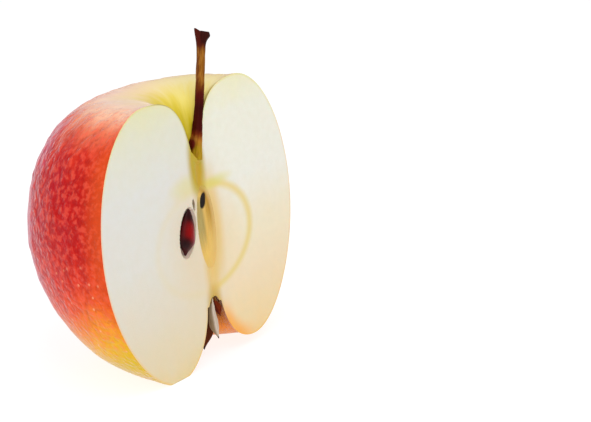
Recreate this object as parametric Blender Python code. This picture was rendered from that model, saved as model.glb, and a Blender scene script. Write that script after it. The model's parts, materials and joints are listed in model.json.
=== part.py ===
# Half an apple, cut lengthwise through its core and standing on its calyx end.
#
# Each piece is modelled on the upright fruit: the core runs up Z, the lowest lobes are near Z = 0, the
# cut face lies in the XZ plane and the flesh is behind it, on +Y.  An empty then carries every piece
# to the pose in which the half rests, leaning back and to one side on a small flat spot.

import math

import bmesh
import bpy
import numpy as np
from mathutils import Euler, Vector

MM = 0.001
CLEARANCE = 0.3 * MM  # between pieces that touch

# outline of the fruit: radii from the core, heights along it
EQUATOR_RADIUS = 37.2 * MM
SHOULDER_HEIGHT = 66.1 * MM
EQUATOR_HEIGHT = SHOULDER_HEIGHT * 0.5295
BACK_BULGE = 0.13  # how much further the back stands out than the sides, as a share
SHOULDER_RADIUS = 17.3 * MM
PIT_DEPTH = 13.0 * MM
PIT_FLOOR = SHOULDER_HEIGHT - PIT_DEPTH
PIT_FLOOR_RADIUS = 1.9 * MM
LOBE_RADIUS = 15.9 * MM
LOBE_HEIGHT = 0.9 * MM
BASIN_DEPTH = 14.3 * MM
BASIN_FLOOR_RADIUS = 2.8 * MM
LOBE_COUNT = 5
LOBE_RELIEF = 0.4 * MM
LOBE_SPREAD = 9.0 * MM
LOBE_GROWTH = 1.7  # how soon the lobes reach full relief below the equator
# where the handles of each curve lie, as shares of the way to its other end, out and up
PIT_HANDLES = (0.15, 0.78), (0.59, 0.0)
SHOULDER_HANDLES = (0.53, 0.0), (0.0, 0.56)
EQUATOR_HANDLES = (0.0, 0.55), (0.42, 0.0)
LOBE_HANDLES = (0.34, 0.0), (0.15, 0.80)

# how the half rests
LEAN_BACK = math.radians(4.2)
SIDE_ROLL = math.radians(4.0)
FLAT_DEPTH = 1.2 * MM  # what the flat spot takes off the lowest lobes

# the open core and the chamber of the front seed, as half widths, in X, Y and Z
CORE_CENTRE = Vector((0.7 * MM, 0.0, EQUATOR_HEIGHT - 1.8 * MM))
CORE_HALF = Vector((3.2, 3.2, 9.6)) * MM
SEED_HALF = Vector((2.4, 1.5, 5.4)) * MM
SEED_ROOM = 0.5 * MM  # between a seed and the wall of its chamber
SEED_TILT = math.radians(14)
FRONT_SEED_CENTRE = Vector((-7.0 * MM, 0.4 * MM, EQUATOR_HEIGHT - 0.7 * MM))
BACK_SEED_CENTRE = Vector((3.9 * MM, 3.4 * MM, EQUATOR_HEIGHT + 2.8 * MM))
SEED_TAPER = 0.55  # how much narrower the pointed end is
SEED_WIDEST = -0.35  # height of the widest place, as a share of the half length

# the stem: a bowed stick, thicker at its foot and flared at its tip
STEM_FOOT = Vector((1.1 * MM, 1.3 * MM, PIT_FLOOR - 3.3 * MM))
STEM_TIP = Vector((8.0 * MM, 0.4 * MM, PIT_FLOOR + 26.0 * MM))
STEM_BOW = 0.6 * MM
STEM_RADIUS = 1.1 * MM
STEM_FOOT_RADIUS = 1.5 * MM
STEM_TIP_RADIUS = 1.6 * MM
STEM_FOOT_FADE = 7  # how fast the swelling at the foot dies away
STEM_TIP_FADE = 9
STEM_WAIST = 0.16  # share by which the stem is thinner below its tip
STEM_WAIST_PLACE = 0.8
STEM_WAIST_SPREAD = 0.15
STEM_POINTS = 16

# the dried calyx
TUBE_DEPTH = 3.2 * MM
TUBE_RADIUS = 2.2 * MM
TUBE_TOP_RADIUS = 0.9 * MM
TUBE_START = 1.0 * MM  # the tube's cutter starts this far below the basin floor
SEPAL_HALF_WIDTH = 1.5 * MM
SEPAL_HALF_THICKNESS = 0.4 * MM
SEPAL_TIP_TAPER = 0.55
SEPALS = {  # name: direction from the core, distance from it at the root, bend and tip, share of basin depth
    "sepal_middle": (math.radians(148), (2.3 * MM, -0.4 * MM, 0.5 * MM), 0.60),
    "sepal_right": (math.radians(20), (2.2 * MM, 2.4 * MM, 2.9 * MM), 0.35),
    "sepal_back": (math.radians(84), (2.2 * MM, 3.0 * MM, 4.3 * MM), 0.66),
}
STAMEN_COUNT = 5
STAMEN_POINTS = 4
STAMEN_RADIUS = 0.2 * MM
STAMEN_LENGTH = TUBE_DEPTH - 0.8 * MM
STAMEN_SPREAD = 0.5, 0.25  # distance from the core at foot and tip, as shares of the tube's radius
STAMEN_TAPER = 0.4

# mesh fineness
RINGS = 44
FLOOR_RINGS = 2
SEGMENTS = 64
CURVE_SHARE = (RINGS - 2 * FLOOR_RINGS) // 4
SEED_FINENESS = {"u_segments": 24, "v_segments": 16}
SEPAL_FINENESS = {"u_segments": 12, "v_segments": 14}
TUBE_SEGMENTS = 20
STEM_BEVEL = 3
WELD = 0.01 * MM


def clear_scene():
    for obj in list(bpy.data.objects):
        bpy.data.objects.remove(obj, do_unlink=True)


def new_collection(name):
    collection = bpy.data.collections.new(name)
    bpy.context.scene.collection.children.link(collection)
    return collection


def plain_material(name, colour, roughness):
    material = bpy.data.materials.new(name)
    material.use_nodes = True
    shader = material.node_tree.nodes["Principled BSDF"]
    shader.inputs["Base Color"].default_value = (*colour, 1.0)
    shader.inputs["Roughness"].default_value = roughness
    shader.inputs["Metallic"].default_value = 0.0
    material.diffuse_color = (*colour, 1.0)
    return material


def new_object(name, data, collection, parent, material=None):
    obj = bpy.data.objects.new(name, data)
    collection.objects.link(obj)
    obj.parent = parent
    if material:
        data.materials.append(material)
    return obj


def mesh_object(name, bm, collection, parent, material=None):
    mesh = bpy.data.meshes.new(name)
    bm.to_mesh(mesh)
    bm.free()
    mesh.shade_smooth()
    return new_object(name, mesh, collection, parent, material)


def quarter(start, end, handles):
    """Points of the outline along a cubic Bezier curve from start to end, without the last one."""
    leaving, arriving = (np.array(handle) for handle in handles)
    start, end = np.array(start), np.array(end)
    t = np.linspace(0.0, 1.0, CURVE_SHARE, endpoint=False)[:, None]
    corners = (start, start + (end - start) * leaving, end + (start - end) * arriving, end)
    weights = ((1 - t) ** 3, 3 * (1 - t) ** 2 * t, 3 * (1 - t) * t**2, t**3)
    return sum(weight * corner for weight, corner in zip(weights, corners))


def fruit_profile():
    """Radius and height of the outline, from the middle of the pit to the middle of the basin.

    Four curves join the pit floor, the shoulder, the equator, the lobes and the basin floor."""
    pit = (PIT_FLOOR_RADIUS, PIT_FLOOR)
    shoulder = (SHOULDER_RADIUS, SHOULDER_HEIGHT)
    equator = (EQUATOR_RADIUS, EQUATOR_HEIGHT)
    lobe = (LOBE_RADIUS, LOBE_HEIGHT)
    basin = (BASIN_FLOOR_RADIUS, BASIN_DEPTH)
    steps = [ring / FLOOR_RINGS for ring in range(FLOOR_RINGS)]
    return np.vstack([
        [(pit[0] * step, pit[1]) for step in steps],
        quarter(pit, shoulder, PIT_HANDLES),
        quarter(shoulder, equator, SHOULDER_HANDLES),
        quarter(equator, lobe, EQUATOR_HANDLES),
        quarter(lobe, basin, LOBE_HANDLES),
        [(basin[0] * (1 - step), basin[1]) for step in [*steps, 1.0]],
    ])


def fruit_point(radius, height, turn):
    """A point of the skin, turn being its angle round the core from +X."""
    reach = radius * (1 + BACK_BULGE * math.sin(turn))
    under = max(0.0, 1 - height / EQUATOR_HEIGHT)
    nearness = math.exp(-((radius - LOBE_RADIUS) / LOBE_SPREAD) ** 2) * min(1.0, LOBE_GROWTH * under)
    drop = LOBE_RELIEF * nearness * math.cos(LOBE_COUNT * (turn - math.pi))
    return Vector((reach * math.cos(turn), reach * math.sin(turn), height - drop))


def whole_fruit(collection, parent, material):
    """The whole apple: a sphere whose rings are carried to the outline."""
    profile = fruit_profile()
    bm = bmesh.new()
    bmesh.ops.create_uvsphere(bm, u_segments=SEGMENTS, v_segments=RINGS, radius=1.0)
    for vert in bm.verts:
        ring = round(math.acos(max(-1.0, min(1.0, vert.co.z))) / math.pi * RINGS)
        radius, height = profile[ring]
        vert.co = fruit_point(radius, height, math.atan2(vert.co.y, vert.co.x))
    return mesh_object("fruit_half", bm, collection, parent, material)


def ellipsoid(name, centre, half, tilt, collection, parent, material=None, taper=0.0):
    """An ellipsoid, pointed towards +Z by taper, then tilted in the plane of the cut face."""
    bm = bmesh.new()
    bmesh.ops.create_uvsphere(bm, **SEED_FINENESS, radius=1.0)
    for vert in bm.verts:
        narrowing = 1 - taper * max(0.0, vert.co.z - SEED_WIDEST) / (1 - SEED_WIDEST)
        vert.co = Vector((vert.co.x * half.x * narrowing, vert.co.y * half.y * narrowing, vert.co.z * half.z))
    obj = mesh_object(name, bm, collection, parent, material)
    obj.location = centre
    obj.rotation_euler = (0.0, tilt, 0.0)
    return obj


def block(name, low, high, collection, parent=None):
    """A box between two corners."""
    bm = bmesh.new()
    bmesh.ops.create_cube(bm, size=1.0)
    for vert in bm.verts:
        vert.co = Vector([low[axis] + (high[axis] - low[axis]) * (vert.co[axis] + 0.5) for axis in range(3)])
    return mesh_object(name, bm, collection, parent)


def cone(name, low_centre, low_radius, high_radius, length, collection, parent):
    bm = bmesh.new()
    bmesh.ops.create_cone(
        bm, cap_ends=True, segments=TUBE_SEGMENTS, radius1=low_radius, radius2=high_radius, depth=length)
    obj = mesh_object(name, bm, collection, parent)
    obj.location = low_centre + Vector((0.0, 0.0, length / 2))
    return obj


def tube(name, points, radii, collection, parent, material=None):
    """A round stick through the points, with its own radius at each."""
    curve = bpy.data.curves.new(name, "CURVE")
    curve.dimensions = "3D"
    curve.bevel_depth = 1.0
    curve.bevel_resolution = STEM_BEVEL
    curve.use_fill_caps = True
    spline = curve.splines.new("POLY")
    spline.points.add(len(points) - 1)
    for point, place, radius in zip(spline.points, points, radii):
        point.co = (*place, 1.0)
        point.radius = radius
    spline.use_smooth = True
    return new_object(name, curve, collection, parent, material)


def curve_to_mesh(obj):
    """The same piece as a closed mesh, with its caps welded, for use as a cutter."""
    evaluated = obj.evaluated_get(bpy.context.evaluated_depsgraph_get())
    mesh = bpy.data.meshes.new_from_object(evaluated)
    bm = bmesh.new()
    bm.from_mesh(mesh)
    bmesh.ops.remove_doubles(bm, verts=bm.verts, dist=WELD)
    bm.to_mesh(mesh)
    bm.free()
    solid = bpy.data.objects.new(obj.name + "_solid", mesh)
    obj.users_collection[0].objects.link(solid)
    solid.parent = obj.parent
    solid.matrix_world = obj.matrix_world
    bpy.data.objects.remove(obj)
    return solid


def stem_line(extra=0.0):
    """Points and radii along the stem, both grown by extra for its socket."""
    along = (STEM_TIP - STEM_FOOT).normalized()
    foot = STEM_FOOT - along * extra
    points = []
    radii = []
    for step in range(STEM_POINTS):
        t = step / (STEM_POINTS - 1)
        bow = Vector((STEM_BOW * math.sin(math.pi * t), 0.0, 0.0))
        points.append(foot.lerp(STEM_TIP, t) + bow)
        foot_swell = (STEM_FOOT_RADIUS - STEM_RADIUS) * math.exp(-t * STEM_FOOT_FADE)
        tip_flare = (STEM_TIP_RADIUS - STEM_RADIUS) * math.exp(-((1 - t) * STEM_TIP_FADE) ** 2)
        waist = STEM_WAIST * STEM_RADIUS * math.exp(-((t - STEM_WAIST_PLACE) / STEM_WAIST_SPREAD) ** 2)
        radii.append(STEM_RADIUS + foot_swell + tip_flare - waist + extra)
    return points, radii


def sepal(name, turn, distances, share, collection, parent, material):
    """A dried sepal: a flat pointed blade that hangs from the basin floor and bends on its way down."""
    root, bend, tip = distances
    outward = Vector((math.cos(turn), math.sin(turn), 0.0))
    sideways = Vector((math.sin(turn), -math.cos(turn), 0.0))
    top = BASIN_DEPTH - CLEARANCE
    length = BASIN_DEPTH * share
    bm = bmesh.new()
    bmesh.ops.create_uvsphere(bm, **SEPAL_FINENESS, radius=1.0)
    for vert in bm.verts:
        along = (1 - vert.co.z) / 2
        distance = (1 - along) ** 2 * root + 2 * (1 - along) * along * bend + along**2 * tip
        across = vert.co.x * SEPAL_HALF_WIDTH * (1 - SEPAL_TIP_TAPER * along)
        through = vert.co.y * SEPAL_HALF_THICKNESS
        place = outward * (distance + through) + sideways * across
        vert.co = Vector((place.x, place.y, top - along * length))
    return mesh_object(name, bm, collection, parent, material)


def stamens(collection, parent, material):
    """A row of dried threads standing in the calyx tube and leaning together at their tips."""
    foot = BASIN_DEPTH + CLEARANCE
    foot_spread, tip_spread = STAMEN_SPREAD
    for number in range(STAMEN_COUNT):
        turn = math.pi * (number + 0.5) / STAMEN_COUNT
        spread = Vector((math.cos(turn), math.sin(turn), 0.0)) * TUBE_RADIUS
        points = []
        radii = []
        for step in range(STAMEN_POINTS):
            t = step / (STAMEN_POINTS - 1)
            share = foot_spread + (tip_spread - foot_spread) * t
            points.append(spread * share + Vector((0.0, 0.0, foot + STAMEN_LENGTH * t)))
            radii.append(STAMEN_RADIUS * (1 - STAMEN_TAPER * t))
        tube(f"stamen_{number + 1}", points, radii, collection, parent, material)


def cut(target, cutter):
    modifier = target.modifiers.new(cutter.name, "BOOLEAN")
    modifier.operation = "DIFFERENCE"
    modifier.solver = "EXACT"
    modifier.object = cutter
    cutter.hide_render = True
    cutter.display_type = "WIRE"


def rest_offset(fruit, turning):
    """Where the upright fruit's origin goes, so that the turned half stands centred on its flat spot."""
    matrix = turning.to_matrix()
    half = [matrix @ vert.co for vert in fruit.data.vertices if vert.co.y > -WELD]
    low = [min(point[axis] for point in half) for axis in range(3)]
    high = [max(point[axis] for point in half) for axis in range(3)]
    return Vector((-(low[0] + high[0]) / 2, -(low[1] + high[1]) / 2, -low[2] - FLAT_DEPTH))


def build():
    clear_scene()
    pieces = new_collection("half_apple")
    cutters = new_collection("cutters")
    pose = bpy.data.objects.new("rest_pose", None)
    pieces.objects.link(pose)

    skin = plain_material("fruit", (0.80, 0.16, 0.08), 0.35)
    bark = plain_material("stem_bark", (0.20, 0.08, 0.03), 0.6)
    seed_coat = plain_material("seed_coat", (0.13, 0.01, 0.01), 0.25)
    dry_leaf = plain_material("dry_sepal", (0.30, 0.20, 0.15), 0.8)

    fruit = whole_fruit(pieces, pose, skin)
    reach = 2 * (EQUATOR_RADIUS + SHOULDER_HEIGHT)
    cut(fruit, block("front_cutter", (-reach, -reach, -reach), (reach, 0.0, reach), cutters, pose))
    cut(fruit, ellipsoid("core_cutter", CORE_CENTRE, CORE_HALF, 0.0, cutters, pose))
    pocket_half = SEED_HALF + Vector((SEED_ROOM,) * 3)
    for name, centre in (("seed_front", FRONT_SEED_CENTRE), ("seed_back", BACK_SEED_CENTRE)):
        ellipsoid(name, centre, SEED_HALF, SEED_TILT, pieces, pose, seed_coat, SEED_TAPER)
        pocket = ellipsoid(name + "_cutter", centre, pocket_half, SEED_TILT, cutters, pose, None, SEED_TAPER)
        cut(fruit, pocket)

    tube("stem", *stem_line(), pieces, pose, bark)
    cut(fruit, curve_to_mesh(tube("stem_cutter", *stem_line(CLEARANCE), cutters, pose)))

    tube_foot = Vector((0.0, 0.0, BASIN_DEPTH - TUBE_START))
    calyx_tube = cone(
        "tube_cutter", tube_foot, TUBE_RADIUS, TUBE_TOP_RADIUS, TUBE_DEPTH + TUBE_START, cutters, pose)
    cut(fruit, calyx_tube)
    for name, (turn, distances, share) in SEPALS.items():
        sepal(name, turn, distances, share, pieces, pose, dry_leaf)
    stamens(pieces, pose, dry_leaf)

    turning = Euler((-LEAN_BACK, -SIDE_ROLL, 0.0))
    pose.rotation_euler = turning
    pose.location = rest_offset(fruit, turning)
    cut(fruit, block("flat_cutter", (-reach, -reach, -reach), (reach, reach, 0.0), cutters))
    bpy.context.view_layer.update()


build()
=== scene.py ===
import json
import math

import bmesh
import bpy
import numpy as np
from mathutils import Matrix, Vector

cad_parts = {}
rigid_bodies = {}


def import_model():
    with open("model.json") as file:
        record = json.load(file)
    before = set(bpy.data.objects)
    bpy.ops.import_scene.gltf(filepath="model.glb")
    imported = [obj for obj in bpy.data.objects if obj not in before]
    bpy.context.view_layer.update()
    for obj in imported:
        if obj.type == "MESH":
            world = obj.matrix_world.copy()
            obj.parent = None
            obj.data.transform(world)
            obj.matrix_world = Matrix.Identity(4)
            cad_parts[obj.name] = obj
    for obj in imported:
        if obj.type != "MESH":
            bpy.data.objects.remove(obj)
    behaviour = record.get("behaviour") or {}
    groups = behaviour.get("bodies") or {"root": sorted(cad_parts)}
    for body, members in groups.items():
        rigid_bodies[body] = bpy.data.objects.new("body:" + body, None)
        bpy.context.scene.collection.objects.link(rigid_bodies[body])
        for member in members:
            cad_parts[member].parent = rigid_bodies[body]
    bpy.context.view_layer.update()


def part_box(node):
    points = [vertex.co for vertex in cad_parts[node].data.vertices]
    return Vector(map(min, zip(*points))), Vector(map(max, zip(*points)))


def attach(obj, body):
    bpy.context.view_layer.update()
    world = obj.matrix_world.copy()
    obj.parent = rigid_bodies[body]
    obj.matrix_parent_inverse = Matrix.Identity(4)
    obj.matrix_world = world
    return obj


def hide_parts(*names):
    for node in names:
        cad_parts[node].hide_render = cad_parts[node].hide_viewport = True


# Looks of half an apple that stands on its calyx end: skin and flesh, stem, seeds, dried calyx.
# Every shape is worked out on the upright fruit, in millimetres: x runs across the cut face, y goes
# back into the flesh and z runs up the core from the lowest lobes. It is then leaned to its rest pose.

for item in list(bpy.data.objects):
    bpy.data.objects.remove(item, do_unlink=True)

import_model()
millimetre = 0.001

stance = {
    "leanBack": 4.2,    # degrees, top away from the cut face
    "sideRoll": 4.0,    # degrees, right side raised
}


def smoothStep(low, high, value):
    # 0 below low, 1 above high, 3t^2 - 2t^3 between
    t = np.clip((value - low) / (high - low), 0.0, 1.0)
    return t * t * (3.0 - 2.0 * t)


def between(value, lowOut, lowIn, highIn, highOut):
    # rises from 0 to 1 between the first two limits and falls back between the last two
    return smoothStep(lowOut, lowIn, value) * (1 - smoothStep(highIn, highOut, value))


def bell(value, middle, width):
    # exp(-((value - middle) / width)^2)
    return np.exp(-((value - middle) / width) ** 2)


def softNoise(x, y, seed):
    # random heights from -1 to 1 on a unit lattice, blended with 3t^2 - 2t^3 between its four corners
    lattice = np.random.default_rng(seed).uniform(-1.0, 1.0, (256, 256))
    column = np.floor(x).astype(int)
    row = np.floor(y).astype(int)
    tx = smoothStep(0.0, 1.0, x - column)
    ty = smoothStep(0.0, 1.0, y - row)

    def alongRow(row):
        return lattice[row % 256, column % 256] * (1 - tx) + lattice[row % 256, (column + 1) % 256] * tx

    return alongRow(row) * (1 - ty) + alongRow(row + 1) * ty


def curvePoints(corners, count):
    # cubic Bezier: the four corners weighed by the terms of ((1 - t) + t)^3
    t = np.linspace(0.0, 1.0, count)[:, None]
    weights = ((1 - t) ** 3, 3 * (1 - t) ** 2 * t, 3 * (1 - t) * t**2, t**3)
    return sum(weight * np.array(corner) for weight, corner in zip(weights, corners))


def spaced(line, count):
    # the same line with its points at even distances along it
    steps = np.hypot(*np.diff(line, axis=0).T)
    along = np.concatenate([[0.0], np.cumsum(steps)])
    places = np.linspace(0.0, along[-1], count)
    return np.stack([np.interp(places, along, line[:, axis]) for axis in range(line.shape[1])], 1)


def gridFaces(rows, columns, start=0, closed=False):
    # quads between neighbouring rows and columns; closed joins the last column to the first
    across = columns if closed else columns - 1
    row, column = np.meshgrid(np.arange(rows - 1), np.arange(across), indexing="ij")
    following = (column + 1) % columns
    corners = [row * columns + column, row * columns + following,
               (row + 1) * columns + following, (row + 1) * columns + column]
    return np.stack([corner.ravel() for corner in corners], 1) + start


def capFaces(ring, pole):
    # a fan from a ring of vertex numbers to one pole vertex
    return np.stack([ring, np.roll(ring, -1), np.full(len(ring), pole)], 1)


def makeMesh(name, points, quads, triangles=()):
    mesh = bpy.data.meshes.new(name)
    faces = [face.tolist() for face in quads] + [face.tolist() for face in triangles]
    mesh.from_pydata(points.tolist(), [], faces)
    mesh.validate()
    mesh.shade_smooth()
    made = bpy.data.objects.new(name, mesh)
    bpy.context.scene.collection.objects.link(made)
    return made


def storeNumbers(piece, name, values):
    attribute = piece.data.attributes.new(name, "FLOAT", "POINT")
    attribute.data.foreach_set("value", np.asarray(values, np.float32))


def storePlaces(piece, name, values):
    attribute = piece.data.attributes.new(name, "FLOAT_VECTOR", "POINT")
    attribute.data.foreach_set("vector", np.asarray(values, np.float32).ravel())


apple = {
    "equatorRadius": 37.2, "equatorHeight": 35.0, "backBulge": 0.13,
    "shoulderRadius": 17.3, "shoulderHeight": 66.1,
    "pitDepth": 13.0, "pitFloorRadius": 1.9,
    "lobeRadius": 15.9, "lobeHeight": 0.9, "basinDepth": 14.3, "basinFloorRadius": 2.8,
    "lobeCount": 5, "lobeRelief": 0.4, "lobeSpread": 9.0,
    "tubeRadius": 2.2, "tubeTopRadius": 0.9, "tubeDepth": 1.8,
    "rows": 216, "turns": 224,
    "fineReach": 12.0, "middleRings": 12, "fineRings": 64, "outerRings": 28,
    "bumpHeight": 0.27, "swellHeight": 0.35, "inset": 0.35, "sharpAngle": 50.0,
    "notchMiddle": 0.7, "notchDepth": 3.3, "notchHalf": (2.4, 2.6),
}


def outline():
    # radius and height from the pit's middle to the top of the calyx tube: four Bezier quarters that join
    # pit floor, shoulder, equator, lobe and basin floor, then the straight wall of the tube
    a = apple
    pit = (a["pitFloorRadius"], a["shoulderHeight"] - a["pitDepth"])
    shoulder = (a["shoulderRadius"], a["shoulderHeight"])
    equator = (a["equatorRadius"], a["equatorHeight"])
    lobe = (a["lobeRadius"], a["lobeHeight"])
    basin = (a["basinFloorRadius"], a["basinDepth"])
    tubeTop = (a["tubeTopRadius"], a["basinDepth"] + a["tubeDepth"])

    def handle(start, end, shareOut, shareUp):
        return (start[0] + (end[0] - start[0]) * shareOut, start[1] + (end[1] - start[1]) * shareUp)

    quarters = [
        (pit, handle(pit, shoulder, 0.15, 0.78), handle(shoulder, pit, 0.59, 0.0), shoulder),
        (shoulder, handle(shoulder, equator, 0.53, 0.0), handle(equator, shoulder, 0.0, 0.56), equator),
        (equator, handle(equator, lobe, 0.0, 0.55), handle(lobe, equator, 0.42, 0.0), lobe),
        (lobe, handle(lobe, basin, 0.34, 0.0), handle(basin, lobe, 0.15, 0.80), basin),
    ]
    line = [np.array([[0.0, pit[1]]])] + [curvePoints(corners, 80) for corners in quarters]
    line += [np.array([(a["tubeRadius"], a["basinDepth"]), tubeTop, (0.0, tubeTop[1])])]
    return spaced(np.vstack(line), a["rows"])


def lobeDrop(radius, height, turn):
    # how far the lobes reach down: a cosine with five crests, strongest near the lobes' own radius
    under = np.clip(1.7 * (1 - height / apple["equatorHeight"]), 0.0, 1.0)
    nearness = bell(radius, apple["lobeRadius"], apple["lobeSpread"]) * under
    return apple["lobeRelief"] * nearness * np.cos(apple["lobeCount"] * (turn - math.pi))


def standing(points):
    # upright millimetres to metres at rest: turn by the lean and the roll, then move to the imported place
    turn = Matrix.Rotation(-math.radians(stance["sideRoll"]), 3, "Y") @ Matrix.Rotation(
        -math.radians(stance["leanBack"]), 3, "X")
    return (points @ np.array(turn).T) * millimetre + restOffset


restOffset = np.zeros(3)


def placeFruit(points):
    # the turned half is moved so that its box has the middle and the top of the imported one
    global restOffset
    low, high = (np.array(corner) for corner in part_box("fruit_half"))
    turned = standing(points)
    restOffset = (low + high) / 2 - (turned.min(0) + turned.max(0)) / 2
    restOffset[2] = high[2] - turned[:, 2].max()
    return standing(points)


seeds = {
    "half": (2.9, 1.7, 5.45), "tilt": 18.0, "taper": 0.5,
    "places": {"seed_front": (-6.7, 0.35, 34.2), "seed_back": (4.0, 3.95, 37.8)},
    "rings": 90, "sides": 72,
}

cutFace = {
    "coreMiddle": (0.7, 33.2),
    "coreHalf": (3.4, 10.2), "coreDepth": 2.5,
    "foldPlace": 3.1, "foldWidth": 0.5, "foldRise": 0.8,
    "seedMiddle": (-6.65, 34.0), "seedHalf": (3.05, 6.0), "seedDepth": 2.4, "seedTilt": 18.0,
    "slitMiddle": (2.2, 39.2), "slitHalf": (0.5, 1.9), "slitDeeper": 0.2,
    "crackMiddle": (-3.2, 39.7), "crackHalf": (0.42, 1.4), "crackDepth": 1.1, "crackTilt": -4.0,
    "coreLineMiddle": (-0.3, 30.6), "coreLineHalf": (18.4, 12.6),
    "lowGroove": 0.4, "topGroove": 0.5, "ribHeight": 0.10, "waviness": 0.10,
}


def ovalDistance(x, z, middle, half, tiltDegrees=0.0):
    # 1 on the oval's edge, 0 in its middle
    tilt = math.radians(tiltDegrees)
    dx, dz = x - middle[0], z - middle[1]
    along = dx * math.sin(tilt) + dz * math.cos(tilt)
    across = dx * math.cos(tilt) - dz * math.sin(tilt)
    return np.hypot(across / half[0], along / half[1])


def dish(distance, depth, steepness):
    # a hollow of that depth: depth * (1 - distance^2)^steepness inside the oval, 0 outside
    return depth * np.clip(1 - distance**2, 0.0, 1.0) ** steepness


def hollowDepth(x, z):
    # depth of the open core with its fold and ribs, the slit to the chamber behind, the front seed's
    # chamber, the crack above it and the bundle's grooves: the deepest of them counts
    c = cutFace
    core = dish(ovalDistance(x, z, c["coreMiddle"], c["coreHalf"]), c["coreDepth"], 0.55)
    fold = c["foldRise"] * bell(x, c["foldPlace"], c["foldWidth"]) * smoothStep(1.0, 2.0, core)
    ribs = c["ribHeight"] * np.sin(x * 7.5 + 0.25 * z) * smoothStep(1.4, 2.0, core)
    core = core - fold - ribs
    # the slit is only a shallow dip; its near-black is painted in the flesh material as painted shadow
    core = core + dish(ovalDistance(x, z, c["slitMiddle"], c["slitHalf"]), c["slitDeeper"], 0.5)
    chamber = dish(ovalDistance(x, z, c["seedMiddle"], c["seedHalf"], c["seedTilt"]), c["seedDepth"], 0.5)
    crack = dish(ovalDistance(x, z, c["crackMiddle"], c["crackHalf"], c["crackTilt"]), c["crackDepth"], 0.5)
    lowGroove = c["lowGroove"] * bell(x, 0.3, 1.1) * between(z, 16.0, 19.0, 23.0, 27.0)
    topGroove = c["topGroove"] * bell(x, 0.4, 1.3) * between(z, 42.0, 45.0, 50.5, 52.5)
    return np.maximum.reduce([core, chamber, crack, lowGroove, topGroove])


def stemNotch(points):
    # the front of the pit floor sinks round the stem's foot: down by a bell in x times a bell in y
    x, y, z = points.T
    halfWidth, halfDepth = apple["notchHalf"]
    sunk = apple["notchDepth"] * bell(x, apple["notchMiddle"], halfWidth) * bell(y, 0.0, halfDepth)
    sunk = sunk * smoothStep(46.5, 53.0, z)
    return np.stack([x, y, z - sunk], 1)


def skinSurface():
    # the outline carried round half a turn: x = reach cos(turn), y = reach sin(turn), the reach growing
    # towards the back by 1 + bulge sin(turn), with low drawn-out bumps along the normal of the outline
    line = outline()
    radius, height = line[:, :1], line[:, 1:]
    turn = np.linspace(math.pi, 0.0, apple["turns"])[None, :]
    along = np.concatenate([[0.0], np.cumsum(np.hypot(*np.diff(line, axis=0).T))])[:, None]
    slope = np.gradient(line, axis=0)
    slope /= np.maximum(np.hypot(slope[:, 0], slope[:, 1])[:, None], 1e-9)
    outX, outZ = -slope[:, 1:], slope[:, :1]
    arc = apple["equatorRadius"] * (math.pi - turn)
    bumps = 0.6 * softNoise(arc / 2.3, along / 2.1, 3) + 0.4 * softNoise(arc / 4.1 + 40, along / 3.7, 4)
    sides = smoothStep(20.0, 30.0, along) * (1 - 0.7 * smoothStep(60.0, 84.0, along)) * (
        1 - smoothStep(84.0, 100.0, along))
    fade = smoothStep(0.0, 0.05, turn / math.pi) * smoothStep(0.0, 0.05, 1 - turn / math.pi)
    lift = apple["bumpHeight"] * bumps * sides * fade
    swell = apple["swellHeight"] * softNoise(arc / 19.0, along / 24.0, 5)
    lift = lift + swell * between(along, 0.0, 8.0, 92.0, 100.0) * fade
    lift = lift - apple["inset"] * smoothStep(22.0, 30.0, along) * fade
    reach = (radius + lift * outX) * (1 + apple["backBulge"] * np.sin(turn))
    z = height + lift * outZ - lobeDrop(radius, height, turn)
    points = np.stack([reach * np.cos(turn), reach * np.sin(turn), z + 0 * turn], 2)
    places = np.stack([arc + 0 * along, along + 0 * arc, points[:, :, 1]], 2)
    return points, places


def fruitMesh():
    # skin grid and cut face share the points of the cut's edge; the face is a fan of rings from the core
    skin, places = skinSurface()
    rows, turns = skin.shape[:2]
    skinPoints = skin.reshape(-1, 3)
    numbers = np.arange(rows * turns).reshape(rows, turns)
    edgeNumbers = np.concatenate([numbers[:, 0], numbers[::-1, -1]])
    edge = skinPoints[edgeNumbers]
    core = np.array([cutFace["coreMiddle"][0], 0.0, cutFace["coreMiddle"][1]])
    spoke = edge - core
    length = np.linalg.norm(spoke, axis=1)[None, :]
    inner = np.concatenate([np.linspace(0.25, 3.0, apple["middleRings"]),
                            np.linspace(3.0, apple["fineReach"], apple["fineRings"] + 1)[1:]])[::-1, None]
    outward = 1 - (1 - np.linspace(0.0, 1.0, apple["outerRings"] + 2)[1:-1]) ** 1.4
    outer = apple["fineReach"] + (length - apple["fineReach"]) * outward[::-1, None]
    distance = np.concatenate([outer, inner + 0 * length])
    rings = core + (spoke / length.T)[None, :, :] * distance[:, :, None]
    x, z = rings[:, :, 0], rings[:, :, 2]
    edgeGap = length - distance
    waves = softNoise(x / 9 + 20, z / 9 + 20, 8) * 0.5 + 0.5
    ripple = cutFace["waviness"] * waves * smoothStep(0.0, 3.0, edgeGap)
    rings[:, :, 1] = np.maximum(hollowDepth(x, z) * smoothStep(0.0, 0.8, edgeGap), ripple)
    start = rows * turns
    faceNumbers = np.concatenate([edgeNumbers[None, :], start + np.arange(x.size).reshape(x.shape)])
    middle = start + x.size
    core[1] = hollowDepth(core[:1], core[2:])[0]
    points = np.vstack([skinPoints, rings.reshape(-1, 3), [core]])
    skinQuads = gridFaces(rows, turns)
    following = np.roll(faceNumbers, -1, axis=1)
    faceQuads = np.stack([faceNumbers[:-1].ravel(), faceNumbers[1:].ravel(),
                          following[1:].ravel(), following[:-1].ravel()], 1)
    fan = capFaces(faceNumbers[-1], middle)[:, [1, 0, 2]]
    return stemNotch(points), places, skinQuads, faceQuads, fan, start


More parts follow.
